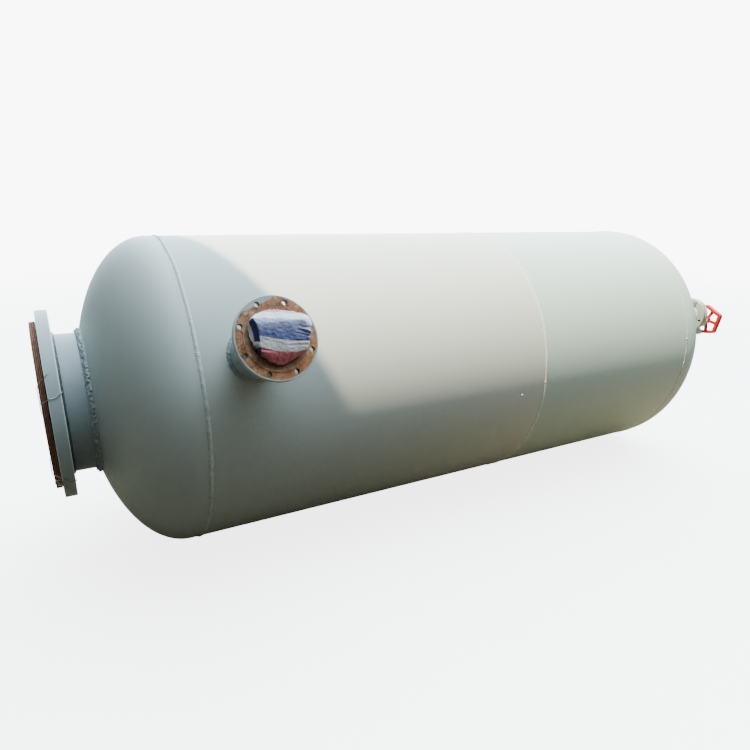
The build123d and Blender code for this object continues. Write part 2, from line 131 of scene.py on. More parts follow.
# Light: colours of the sky by direction, of the ground, and of the sun
SKY_AXIS = (0.0, 0.643, 0.766)
SKY_FROM = -0.02
SKY_TO = 0.85
ZENITH = (7.8, 10.0, 11.2)
HORIZON = (0.03, 0.035, 0.03)
GROUND_GLOW = (0.05, 0.045, 0.035)
SHADED_FRONT = (0.065, 0.056, 0.042)
SUNLIT_FRONT = (0.22, 0.155, 0.095)
SHADED_GROUND = (0.175, 0.145, 0.100)
SUNLIT_GROUND = (0.42, 0.29, 0.170)
BACKDROP = (9.0, 9.0, 9.0)
FLOOR_GLOW = (4.0, 4.0, 4.0)
SUN_TOWARD = (-0.386, -0.05, 0.919)
SUN_STRENGTH = 15.0
# The plane of the shade: its normal and how far it lies from the origin, then the flag
SHADE_CUT = (0.88613, 0.25494, 0.38701)
SHADE_REACH = 0.896
FLAG_AWAY = 2.6
SUN_TINT = (1.0, 0.91, 0.64)
SUN_SPREAD = 1.6

# Camera: its sensor, the picture, focal length and centre in pixels, place, tilt and turn
SENSOR = 36.0
PICTURE = 750
FOCAL_PIXELS = 577.40
CENTRE = (367.13, 410.02)
CAMERA_PLACE = (0.0419, -3.0926, 0.8391)
CAMERA_TILT = 17.866
CAMERA_TURN = 29.131

nozzle_out = np.array([0.0, -np.cos(NOZZLE_RISE), np.sin(NOZZLE_RISE)])
nozzle_up = np.array([0.0, np.sin(NOZZLE_RISE), np.cos(NOZZLE_RISE)])
along = np.array([1.0, 0.0, 0.0])


# Shapes


def swell(points, size, seed, waves=16):
    """Smooth noise, about -1 to 1: a sum of plane waves of random direction, rate and phase,
    roughly one swell to each size."""
    rng = np.random.default_rng(seed)
    direction = rng.normal(size=(waves, 3))
    direction /= np.linalg.norm(direction, axis=1, keepdims=True)
    rate = 2 * np.pi / size * rng.uniform(0.6, 1.4, (waves, 1))
    phase = rng.uniform(0, 2 * np.pi, waves)
    flat = points.reshape(-1, 3)
    value = np.sin(flat @ (direction * rate).T + phase).sum(-1) * (2 / waves) ** 0.5
    return value.reshape(points.shape[:-1])


def show(name, data):
    """New object in the scene with its data."""
    thing = bpy.data.objects.new(name, data)
    bpy.context.scene.collection.objects.link(thing)
    return thing


def quads_over(index):
    """Four corners of each cell of a grid of point numbers, or of a stack of grids."""
    near, far = index[..., :-1, :], index[..., 1:, :]
    corners = [near[..., :-1], far[..., :-1], far[..., 1:], near[..., 1:]]
    return np.stack(corners, axis=-1).reshape(-1, 4)


def skin(name, grid, wrap_rows=True, wrap_columns=True, close_ends=False):
    """Mesh of quads over a grid of points, joined to itself where it wraps. Its signed
    volume, the sum of the triple products of its faces, says whether to turn it round."""
    rows, columns = grid.shape[:2]
    index = np.arange(rows * columns).reshape(rows, columns)
    if wrap_rows:
        index = np.vstack([index, index[:1]])
    if wrap_columns:
        index = np.hstack([index, index[:, :1]])
    quads = quads_over(index)
    points = grid.reshape(-1, 3)
    corner = points[quads]
    middle = points.mean(0)
    a, b, c, d = (corner[:, k] - middle for k in range(4))
    volume = np.einsum("ij,ij->i", a, np.cross(b, c)) + np.einsum("ij,ij->i", a, np.cross(c, d))
    faces = (quads[:, ::-1] if volume.sum() < 0 else quads).tolist()
    if close_ends:
        turn = 1 if volume.sum() < 0 else -1
        faces.append(index[0, :-1][::turn].tolist())
        faces.append(index[-1, :-1][::-turn].tolist())
    mesh = bpy.data.meshes.new(name)
    mesh.from_pydata(points.tolist(), [], faces)
    mesh.update()
    mesh.shade_smooth()
    return show(name, mesh)


def weld_together(piece, distance=1e-6):
    """Merges points that lie together, such as those of a pole, and turns every face out."""
    shape = bmesh.new()
    shape.from_mesh(piece.data)
    bmesh.ops.remove_doubles(shape, verts=shape.verts, dist=distance)
    bmesh.ops.dissolve_degenerate(shape, edges=shape.edges, dist=distance)
    bmesh.ops.recalc_face_normals(shape, faces=shape.faces)
    shape.to_mesh(piece.data)
    shape.free()
    piece.data.shade_smooth()


def full_turn(count):
    """Angles once round, as a column."""
    return np.linspace(0, 2 * np.pi, count, endpoint=False)[:, None]


def circle(centre, across, up, radius, count):
    """Loop of points: centre plus radius times cosine and sine on two square directions."""
    turn = full_turn(count)
    return centre + radius * (np.cos(turn) * across + np.sin(turn) * up)


def head_reach(radius):
    """How far a head's surface lies beyond its seam: the straight edge plus the ellipse."""
    return HEAD_STRAIGHT + HEAD_DEPTH * np.sqrt(1 - (radius / SHELL) ** 2)


def bead_section():
    """Places across a bead from -1 to 1 and back underneath, which of them lie on top, and
    the arch over them: one minus the square of the place."""
    across = np.concatenate([np.linspace(-1, 1, 9), [0.5, -0.5]])[None, :]
    top = np.concatenate([np.ones(9), np.zeros(2)])[None, :]
    return across, top, 1 - across**2


def girth_bead(name, seam, width, height, pitch, seed):
    """Cap of a girth weld. Across the seam it is an arch, one minus the square of the
    distance from its middle; round the shell the arch rises and falls once each pitch, with
    the crests bent into crescents by adding the arch to the phase."""
    count = 6 * int(2 * np.pi * SHELL / pitch)
    turn = full_turn(count)
    across, top, arch = bead_section()
    line = np.stack([0 * turn, np.cos(turn), np.sin(turn)], axis=-1)[:, 0] * SHELL
    wander = 0.0007 * swell(line, 0.35, seed)[:, None]
    spread = width / 2 * (1 + 0.06 * swell(line, 0.05, seed + 1)[:, None])
    ripple = 0.80 + 0.20 * np.cos(2 * np.pi * turn * SHELL / pitch - 2.4 * arch)
    lump = 1 + 0.16 * swell(line, 0.03, seed + 2)[:, None]
    lift = height * arch * ripple * lump * top - TOE_DEPTH * (1 - arch * top)
    radius = SHELL + lift
    x = seam + wander + across * spread
    grid = np.stack([x + 0 * turn, radius * np.cos(turn), radius * np.sin(turn)], axis=-1)
    return skin(name, grid)


def course_bead(name, start, end, angle, width, height, pitch, seed):
    """Cap of a lengthwise seam: the same arch and crescents, carried along the shell at an
    angle from +Y, and drawn in to nothing at both ends."""
    count = 5 * int((end - start) / pitch)
    travel = np.linspace(start, end, count)[:, None]
    across, top, arch = bead_section()
    ripple = 0.80 + 0.20 * np.cos(2 * np.pi * travel / pitch - 2.4 * arch)
    line = np.stack([travel[:, 0], 0 * travel[:, 0], 0 * travel[:, 0]], axis=-1)
    lump = 1 + 0.16 * swell(line, 0.03, seed)[:, None]
    lift = height * arch * ripple * lump * top - TOE_DEPTH * (1 - arch * top)
    turn = np.radians(angle) + across * (width / 2) / SHELL * lump
    radius = SHELL + lift
    grid = np.stack([travel + 0 * turn, radius * np.cos(turn), radius * np.sin(turn)], axis=-1)
    return skin(name, grid, wrap_rows=False, close_ends=True)


def fillet_bead(name, root, upper, lower, bulge, pitch, rough, seed, runs=1):
    """Fillet weld carried round a joint. root, upper and lower are matching loops: the
    corner, the toe on the pipe and the toe on the plate. The face runs straight from toe to
    toe and is pushed out, away from the corner, by an arch, by one lower arch for each run,
    by ripples that follow the travel and by lumps."""
    step = np.linalg.norm(np.roll(lower, -1, 0) - lower, axis=1)
    travel = np.cumsum(step)[:, None]
    pitch = travel[-1, 0] / round(travel[-1, 0] / pitch)
    v = np.linspace(0, 1, 6 * runs + 5)[None, :]
    arch = 4 * v * (1 - v)
    out = (upper + lower) / 2 - root
    out /= np.linalg.norm(out, axis=1, keepdims=True)
    width = np.linalg.norm(upper - lower, axis=1)[:, None]
    humps = np.abs(np.sin(np.pi * runs * v)) - 0.5
    middle = (upper + lower) / 2
    wobble = 0.10 * swell(middle, 0.045, seed + 3)[:, None]
    face = upper[:, None] * (1 - v - wobble * arch)[..., None]
    face = face + lower[:, None] * (v + wobble * arch)[..., None]
    lumps = swell(face, 0.022, seed) + 0.6 * swell(face, 0.010, seed + 1)
    crescents = np.cos(2 * np.pi * travel / pitch - 2.0 * np.sin(np.pi * runs * v) ** 2)
    lift = bulge * width * arch + arch ** 0.5 * (
        0.10 * width * humps * (runs > 1) + rough * (0.5 * crescents + lumps)
    )
    face = face + out[:, None] * lift[..., None]
    sunk = root - out * 0.001
    return skin(name, np.concatenate([face, sunk[:, None]], axis=1))


def tube(name, path, radius, sides=8, samples=10):
    """Wire along a path: a Catmull-Rom curve through the points, and round it a circle on
    the two directions square to the curve's own, found with a fixed third direction."""
    path = np.asarray(path, float)
    padded = np.vstack([2 * path[:1] - path[1:2], path, 2 * path[-1:] - path[-2:-1]])
    t = np.linspace(0, 1, samples, endpoint=False)[None, :, None]
    p0, p1, p2, p3 = (padded[k : k + len(path) - 1, None] for k in range(4))
    curve = 0.5 * (
        2 * p1
        + (p2 - p0) * t
        + (2 * p0 - 5 * p1 + 4 * p2 - p3) * t**2
        + (3 * p1 - p0 - 3 * p2 + p3) * t**3
    )
    curve = np.vstack([curve.reshape(-1, 3), path[-1:]])
    heading = np.gradient(curve, axis=0)
    heading /= np.linalg.norm(heading, axis=1, keepdims=True)
    side = np.cross(heading, np.array([0.31, 0.52, 0.79]))
    side /= np.linalg.norm(side, axis=1, keepdims=True)
    other = np.cross(heading, side)
    turn = full_turn(sides)[None]
    grid = curve[:, None] + radius * (np.cos(turn) * side[:, None] + np.sin(turn) * other[:, None])
    return skin(name, grid, wrap_rows=False, close_ends=True)


def droplets(name, seats, out, radius, height):
    """Drops of spatter: on each seat a dome whose height falls with the square of the
    distance from its middle, on a polar grid."""
    rings, sides = 4, 8
    ring = np.linspace(1, 0, rings)[None, :, None, None]
    turn = full_turn(sides)[None, None]
    side = np.cross(out, np.array([0.2, 0.3, 0.9]))
    side /= np.linalg.norm(side, axis=1, keepdims=True)
    other = np.cross(out, side)
    side, other, up = (vector[:, None, None] for vector in (side, other, out))
    reach = radius[:, None, None, None]
    domes = seats[:, None, None] + reach * ring * (np.cos(turn) * side + np.sin(turn) * other)
    domes = domes + height[:, None, None, None] * (1 - ring**2) * up - 0.0006 * up * ring
    index = np.arange(len(seats) * rings * sides).reshape(-1, rings, sides)
    index = np.concatenate([index, index[:, :, :1]], axis=2)
    faces = quads_over(index).tolist() + index[:, 0, :-1].tolist()
    mesh = bpy.data.meshes.new(name)
    mesh.from_pydata(domes.reshape(-1, 3).tolist(), [], faces)
    piece = show(name, mesh)
    weld_together(piece)
    return piece


def plywood_disc():
    """Disc of seven plies. Round the edge each ply has its own radius, moved by its own
    noise along the edge, with a groove between plies; the two faces are flat, and the
    outermost ply is frayed by finer noise."""
    plies, count, face_rings = 7, 1080, 13
    turn = full_turn(count)
    thick = (COVER_INSIDE - COVER_OUTSIDE) / plies
    ply = np.repeat(np.arange(plies), 4)
    place = np.tile([0.02, 0.14, 0.86, 0.98], plies)
    edge_x = COVER_INSIDE - (ply + place) * thick
    groove = np.tile([0.0012, 0.0, 0.0, 0.0012], plies)
    line = np.stack([0 * turn, np.cos(turn), np.sin(turn)], axis=-1)[:, 0] * COVER
    layered = line[:, None] + np.array([3.0, 1.0, 2.0]) * ply[None, :, None]
    chip = 0.0009 * swell(layered, 0.05, 5) + 0.0007 * swell(layered, 0.012, 6)
    step = 0.0008 * np.cos(2.2 * ply)
    fray = np.clip(swell(line, 0.009, 7), 0, 1)[:, None] * 0.0035
    fray = fray * (ply == plies - 1)[None, :]
    edge_r = COVER - groove + chip + step - fray
    inner_r = np.linspace(0, 0.985, 6) * COVER
    outer_r = np.linspace(0.985, 0, face_rings + 1) * COVER
    x = np.concatenate([0 * inner_r + COVER_INSIDE, edge_x, 0 * outer_r + COVER_OUTSIDE])
    r = np.concatenate(
        [np.tile(inner_r, (count, 1)), edge_r, np.tile(outer_r, (count, 1))], axis=1
    )
    grid = np.stack([x[None, :] + 0 * r, r * np.cos(turn), r * np.sin(turn)], axis=-1)
    torn = grid[:, -face_rings:]
    lift = 0.0007 * swell(torn * [1, 1, 0.2], 0.03, 8)
    torn[..., 0] += lift * (torn[..., 1] ** 2 + torn[..., 2] ** 2 > 0.01)
    piece = skin("plywood_disc", grid, wrap_rows=True, wrap_columns=False)
    weld_together(piece)
    return piece


def bag_outline(turn):
    """Distance from the bag's middle to its widest outline, by angle: the corners of the
    outline, joined in polar form and then averaged over a few degrees."""
    corner = np.array(
        [
            (-111, 52), (-98, 81), (-51, 100), (-11, 105), (31, 99), (78, 87), (129, 68),
            (147, 50), (137, 31), (125, -7), (114, -34), (106, -57), (81, -70), (38, -92),
            (-4, -108), (-38, -96), (-79, -65), (-93, -37), (-108, 2),
        ]
    ) / 1000 - BAG_MIDDLE
    angle = np.arctan2(corner[:, 1], corner[:, 0])
    reach = np.hypot(corner[:, 0], corner[:, 1])
    spread = np.radians(np.linspace(-5, 5, 9))
    return np.mean(
        [np.interp(turn + shift, angle, reach, period=2 * np.pi) for shift in spread], axis=0
    )


def stuffed_bag():
    """Rag stuffed into the side nozzle. Its front is the lowest of five planes at each
    place, blended by minus the log of a sum of exponentials, so it has flat faces and soft
    ridges. It falls to the widest outline as the root of one minus a high power, and goes
    back from there to the bore and a little way in. Grooves with a raised lip are the
    creases, and weak noise crumples all of it."""
    columns, rows = 320, 112
    turn = full_turn(columns)
    s = np.linspace(0, 1, rows)[None, :]
    wide = bag_outline(turn)
    front = np.clip(s / 0.72, 0, 1)
    back = np.clip((s - 0.72) / 0.28, 0, 1)
    tuck = np.minimum(0.0975, wide * 0.95)
    reach = wide * np.sin(front * np.pi / 2) ** 0.95
    reach = reach + (tuck - wide) * (1 - np.cos(np.pi * np.clip(back * 1.7, 0, 1))) / 2
    u = BAG_MIDDLE[0] * (1 - back) + reach * np.cos(turn)
    v = reach * np.sin(turn)
    body = (1 - back) * np.sqrt(np.clip(1 - (s / 0.9) ** 6, 0, 1))
    waist = 0.015
    fold = -0.083 - FOLD_BEND * np.clip(v, 0, 1) ** 2
    planes = np.stack(
        [
            0.056 + 0.16 * (v - 0.052) + 0.02 * u,
            0.056 - 0.62 * (v - 0.052),
            0.054 + 1.7 * (u - fold),
            0.056 - 0.85 * (u - 0.108),
            0.030 + 0.75 * (v + 0.082),
        ]
    )
    softness = 0.0035
    high = -softness * np.log(np.exp(-planes / softness).sum(0))
    out = waist + (high - waist) * np.sqrt(np.clip(1 - front**7, 0, 1))
    out = out - (waist + 0.045) * back**1.15

    def crease(from_u, from_v, to_u, to_v, depth, spread):
        """Groove along a line with a lip above it, deepest where it starts."""
        run = np.hypot(to_u - from_u, to_v - from_v)
        x, y = (to_u - from_u) / run, (to_v - from_v) / run
        t = ((u - from_u) * x + (v - from_v) * y) / run
        d = ((u - from_u) * y - (v - from_v) * x) / spread
        gone = np.clip(1 - t, 0, 1) ** 0.7 * np.clip(1 + 5 * t, 0, 1)
        return depth * gone * (0.55 * np.exp(-((d - 1.5) ** 2)) - np.exp(-(d**2)))

    # From u and v to u and v, depth and spread
    creases = (
        (0.130, -0.008, 0.070, 0.015, 0.0090, 0.0036),
        (0.134, 0.022, 0.096, 0.022, 0.0060, 0.0034),
        (0.110, -0.012, 0.050, 0.006, 0.0032, 0.0032),
        (0.120, 0.006, 0.066, 0.026, -0.0030, 0.0036),
        (0.098, 0.062, 0.052, 0.014, -0.0022, 0.0030),
        (0.122, -0.030, 0.020, -0.026, 0.0026, 0.0042),
        (0.112, -0.046, 0.000, -0.040, 0.0022, 0.0045),
        (-0.094, 0.075, -0.060, 0.058, -0.0024, 0.0040),
        (-0.080, -0.046, -0.020, -0.060, 0.0026, 0.0045),
        (0.020, -0.098, 0.040, -0.050, 0.0026, 0.0045),
        (-0.030, -0.094, -0.018, -0.056, 0.0022, 0.0040),
        (0.002, 0.103, 0.010, 0.080, 0.0040, 0.0035),
        (0.070, 0.088, 0.050, 0.060, 0.0022, 0.0040),
    )
    folds = sum(crease(*line) for line in creases)
    flat = np.stack([u, v, 0 * u], axis=-1)
    crumple = 0.0009 * swell(flat, 0.055, 11) + 0.00034 * swell(flat * [1, 1.5, 1], 0.024, 12)
    crumple = crumple + 0.00010 * swell(flat, 0.009, 13)
    out = out + (folds + crumple) * body
    hem = 0.0016 * swell(flat, 0.025, 14) * np.clip(front * 3 - 2, 0, 1) * body
    u = u + hem * np.cos(turn)
    v = v + hem * np.sin(turn)
    centre = np.array([NOZZLE_X, 0, 0]) + nozzle_out * (NOZZLE_FACE + 0.0008)
    grid = centre + u[..., None] * along + v[..., None] * nozzle_up + out[..., None] * nozzle_out
    piece = skin("striped_bag_cloth", grid, wrap_rows=True, wrap_columns=False)
    layer = piece.data.uv_layers.new(name="cloth")
    corners = np.empty(len(piece.data.loops), np.int32)
    piece.data.loops.foreach_get("vertex_index", corners)
    cloth = np.stack([u, v], axis=-1).reshape(-1, 2)
    layer.data.foreach_set("uv", cloth[corners].astype(np.float32).ravel())
    return piece


# Materials


def fill(node, inputs):
    """Fills a node's inputs with values, colours or links."""
    for key, value in inputs.items():
        socket = node.inputs[key]
        if isinstance(value, bpy.types.NodeSocket):
            node.id_data.links.new(value, socket)
        elif socket.type == "RGBA" and len(value) == 3:
            socket.default_value = (*value, 1)
        else:
            socket.default_value = value


def put(kind, inputs, tree=None, **settings):
    """Adds a node to a tree, or else to the tree of the first link among its inputs, sets
    its options and fills its inputs."""
    if tree is None:
        tree = next(v for v in inputs.values() if isinstance(v, bpy.types.NodeSocket)).id_data
    node = tree.nodes.new(kind)
    for key, value in settings.items():
        setattr(node, key, value)
    fill(node, inputs)
    return node


def emptied(holder, kind):
    """Node tree of a material or world without its nodes, and a new output."""
    holder.use_nodes = True
    tree = holder.node_tree
    tree.nodes.clear()
    return tree, tree.nodes.new(kind)


def own_place(tree):
    """Object coordinates."""
    return tree.nodes.new("ShaderNodeTexCoord").outputs["Object"]


paints = {}


def material(name):
    """New material, kept in paints by its name. Gives its Principled BSDF and its Object
    coordinates."""
    paint = paints[name] = bpy.data.materials.new(name)
    tree, output = emptied(paint, "ShaderNodeOutputMaterial")
    surface = tree.nodes.new("ShaderNodeBsdfPrincipled")
    fill(output, {0: surface.outputs[0]})
    return surface, own_place(tree)


def noise(vector, scale, detail=4.0, roughness=0.55, distortion=0.0):
    """Value of a noise texture on a vector."""
    inputs = {"Vector": vector, "Scale": scale, "Detail": detail, "Roughness": roughness}
    return put("ShaderNodeTexNoise", inputs | {"Distortion": distortion}).outputs["Fac"]


def sums(operation, first, second=0.0, third=0.0, clamp=False):
    """One step of arithmetic on values or links."""
    inputs = {0: first, 1: second, 2: third}
    return put("ShaderNodeMath", inputs, operation=operation, use_clamp=clamp).outputs[0]


def plus(first, second):
    """Sum."""
    return sums("ADD", first, second)


def less(first, second):
    """Difference."""
    return sums("SUBTRACT", first, second)


def times(first, second):
    """Product."""
    return sums("MULTIPLY", first, second)


def vectors(operation, first, second=None):
    """One step of arithmetic on vectors. Lengths and dot products come out as values."""
    inputs = {0: first}
    if second is not None:
        inputs[3 if operation == "SCALE" else 1] = second
    node = put("ShaderNodeVectorMath", inputs, operation=operation)
    return node.outputs["Value" if operation in ("LENGTH", "DOT_PRODUCT") else "Vector"]


def parts(vector):
    """X, Y and Z of a vector."""
    return put("ShaderNodeSeparateXYZ", {0: vector}).outputs


def stretched(vector, scale, turn=0.0):
    """A vector scaled by axis and turned about Z by an angle in degrees."""
    inputs = {"Vector": vector, "Scale": scale, "Rotation": (0, 0, np.radians(turn))}
    return put("ShaderNodeMapping", inputs).outputs[0]


def fade(value, low, high):
    """Smooth step from 0 at low to 1 at high."""
    inputs = {"Value": value, "From Min": low, "From Max": high}
    return put("ShaderNodeMapRange", inputs, interpolation_type="SMOOTHSTEP").outputs["Result"]


def blend(factor, first, second):
    """Mix of two colours."""
    return put("ShaderNodeMix", {0: factor, 6: first, 7: second}, data_type="RGBA").outputs[2]


VECTOR, COLOUR, VALUE = "NodeSocketVector", "NodeSocketColor", "NodeSocketFloat"
COAT = {"Color": COLOUR, "Roughness": VALUE, "Height": VALUE}


def group(name, vector, colours, values, outputs):
    """Empty shader node group. Its named inputs are one vector, then colours and values
    with their defaults, and its outputs are named with their kinds."""
    tree = bpy.data.node_groups.new(name, "ShaderNodeTree")
    tree.interface.new_socket(vector, in_out="INPUT", socket_type=VECTOR)
    for kind, defaults in ((COLOUR, colours), (VALUE, values)):
        for label, default in defaults.items():
            socket = tree.interface.new_socket(label, in_out="INPUT", socket_type=kind)
            socket.default_value = default
    for label, kind in outputs.items():
        tree.interface.new_socket(label, in_out="OUTPUT", socket_type=kind)
    given = tree.nodes.new("NodeGroupInput").outputs
    return tree, given, tree.nodes.new("NodeGroupOutput")


def place(shared, inputs):
    """Puts a shared group into a material with its own values."""
    return put("ShaderNodeGroup", inputs, node_tree=shared).outputs


def finish(surface, colour, roughness, bump, specular=0.5, metallic=0.0, sheen=0.0):
    """Fills the surface of a material. Its bump is a height, a strength and a distance."""
    raised = put("ShaderNodeBump", dict(zip(("Height", "Strength", "Distance"), bump)))
    look = {"Base Color": colour, "Roughness": roughness, "Normal": raised.outputs["Normal"]}
    look |= {"Specular IOR Level": specular, "Metallic": metallic, "Sheen Weight": sheen}
    fill(surface, look)


def sprayed_paint_group():
    """Sprayed satin paint: broad clouds of tone, a fine mist, dust where the surface looks
    up, small scuffs, and the skin of the spray as height."""
    colours = {"Paint": (0.5, 0.5, 0.5, 1), "Dust": (0.5, 0.45, 0.4, 1)}
    values = {"Clouding": 0.06, "Dustiness": 0.1, "Scuffs": 0.1, "Gloss Roughness": 0.4}
    tree, given, result = group("sprayed_paint", "Place", colours, values, COAT)
    at = given["Place"]
    clouds = noise(at, 1.6, 3.0, 0.5)
    mist = noise(at, 34.0, 5.0, 0.6)
    skin_height = noise(at, 420.0, 2.0, 0.5)
    tone = less(plus(times(clouds, 1.3), times(mist, 0.5)), 0.9)
    tone = plus(times(tone, given["Clouding"]), 1.0)
    toned = vectors("SCALE", given["Paint"], tone)
    facing = tree.nodes.new("ShaderNodeNewGeometry").outputs["Normal"]
    dusty = fade(parts(facing)["Z"], -0.2, 1.0)
    grit = fade(noise(at, 9.0, 6.0, 0.65), 0.35, 0.7)
    dusty = times(times(dusty, grit), given["Dustiness"])
    colour = blend(dusty, toned, given["Dust"])
    scuff = fade(noise(stretched(at, (1.0, 5.0, 1.4)), 26.0, 6.0, 0.7), 0.66, 0.74)
    scuff = times(scuff, given["Scuffs"])
    colour = blend(scuff, colour, (0.62, 0.63, 0.61))
    rough = plus(given["Gloss Roughness"], times(dusty, 0.5))
    rough = plus(rough, times(mist, 0.08))
    height = plus(skin_height, times(mist, 1.5))
    fill(result, {"Color": colour, "Roughness": rough, "Height": height})
    return tree


def rust_group():
    """Rust in three tones, mottled and pitted, as colour, roughness and height."""
    colours = {
        "Pale": (0.5, 0.3, 0.18, 1),
        "Middle": (0.3, 0.13, 0.06, 1),
        "Deep": (0.1, 0.04, 0.02, 1),
    }
    values = {"Size": 1.0, "Age": 0.0}
    tree, given, result = group("rust_scale", "Place", colours, values, COAT)
    at = vectors("SCALE", given["Place"], given["Size"])
    broad = noise(at, 22.0, 5.0, 0.65, 0.4)
    fine = noise(at, 110.0, 6.0, 0.7)
    mix = plus(times(broad, 0.62), times(fine, 0.38))
    mix = plus(mix, given["Age"])
    colour = blend(fade(mix, 0.36, 0.52), given["Deep"], given["Middle"])
    colour = blend(fade(mix, 0.50, 0.66), colour, given["Pale"])
    rough = sums("MULTIPLY_ADD", fine, 0.3, 0.62)
    fill(result, {"Color": colour, "Roughness": rough, "Height": mix})
    return tree


def tape_weave_group():
    """Plain weave of flat tapes: two square waves at right angles, one over the other in turn, as
    height and as painted shade and sheen of the tapes: darker where they dip, lighter where the warp
    lies on top."""
    outputs = {"Height": VALUE, "Tint": VALUE}
    tree, given, result = group("tape_weave", "Cloth", {}, {"Tapes": 400.0}, outputs)
    flat = parts(given["Cloth"])
    across = times(flat["X"], given["Tapes"])
    down = times(flat["Y"], given["Tapes"])
    warp = sums("ABSOLUTE", sums("SINE", times(across, np.pi)))
    weft = sums("ABSOLUTE", sums("SINE", times(down, np.pi)))
    row = sums("FLOOR", across)
    column = sums("FLOOR", down)
    over = sums("MODULO", sums("ABSOLUTE", plus(row, column)), 2.0)
    over = sums("GREATER_THAN", over, 0.5)
    height = plus(times(warp, over), times(weft, less(1.0, over)))
    tape_shading = plus(times(height, 0.5), times(over, 0.3))
    fill(result, {"Height": height, "Tint": tape_shading})
    return tree


sprayed_paint = sprayed_paint_group()
rust_scale = rust_group()
tape_weave = tape_weave_group()


def coated(at, paint, clouding, dustiness, scuffs, gloss, dust=(0.62, 0.60, 0.55)):
    """The sprayed paint group in a material, with its own values."""
    values = {"Place": at, "Paint": paint, "Dust": dust, "Clouding": clouding}
    values |= {"Dustiness": dustiness, "Scuffs": scuffs, "Gloss Roughness": gloss}
    return place(sprayed_paint, values)


def painted_steel(name, colour, clouding, dustiness, scuffs, roughness, skin_depth):
    """Sprayed paint on plate or pipe."""
    surface, at = material(name)
    made = coated(at, colour, clouding, dustiness, scuffs, roughness)
    bump = made["Height"], 0.25, skin_depth
    finish(surface, made["Color"], made["Roughness"], bump, 0.42)


def weld_metal(name, colour, scuffs):
    """Painted weld: the paint darkened in patches of noise, as painted shade for the hollows between
    the ripples.
    """
    surface, at = material(name)
    made = coated(at, colour, 0.12, 0.05, scuffs, 0.34)
    hollow_shade = fade(noise(at, 90.0, 4.0, 0.6), 0.56, 0.70)
    hollow_shaded = blend(times(hollow_shade, 0.45), made["Color"], (0.10, 0.11, 0.10))
    finish(surface, hollow_shaded, made["Roughness"], (noise(at, 160.0, 4.0, 0.6), 0.5, 0.0012))


def end_flange_finish():
    """Paint of the end flange, darkened as painted shade, with a painted highlight pale along its
    two outer edges. The step of its raised face, which the plywood leaves open as a narrow gap, is
    painted near black as shadow."""
    surface, at = material("end_flange_paint")
    # Grey darkened as painted shade
    made = coated(at, (0.385, 0.430, 0.440), 0.08, 0.12, 0.12, 0.38)
    x = parts(at)["X"]
    radius = vectors("LENGTH", vectors("MULTIPLY", at, (0.0, 1.0, 1.0)))
    # Painted shadow: the raised face's step in the gap, near black
    near = less(1.0, fade(radius, 0.404, 0.414))
    gap_shadow = times(near, sums("LESS_THAN", x, 0.0004))
    # Painted highlight along both outer edges of the rim
    outside = sums("GREATER_THAN", radius, END_RIM - 0.0035)
    from_middle = sums("ABSOLUTE", less(x, END_BACK / 2))
    edge_highlight = fade(from_middle, END_BACK / 2 - 0.0050, END_BACK / 2 - 0.0025)
    edge_highlight = times(times(edge_highlight, outside), 0.75)
    paler = blend(edge_highlight, made["Color"], (0.86, 0.92, 0.93))
    shaded_and_lit = blend(gap_shadow, paler, (0.012, 0.010, 0.010))
    finish(surface, shaded_and_lit, made["Roughness"], (made["Height"], 0.25, 0.0006), 0.42)


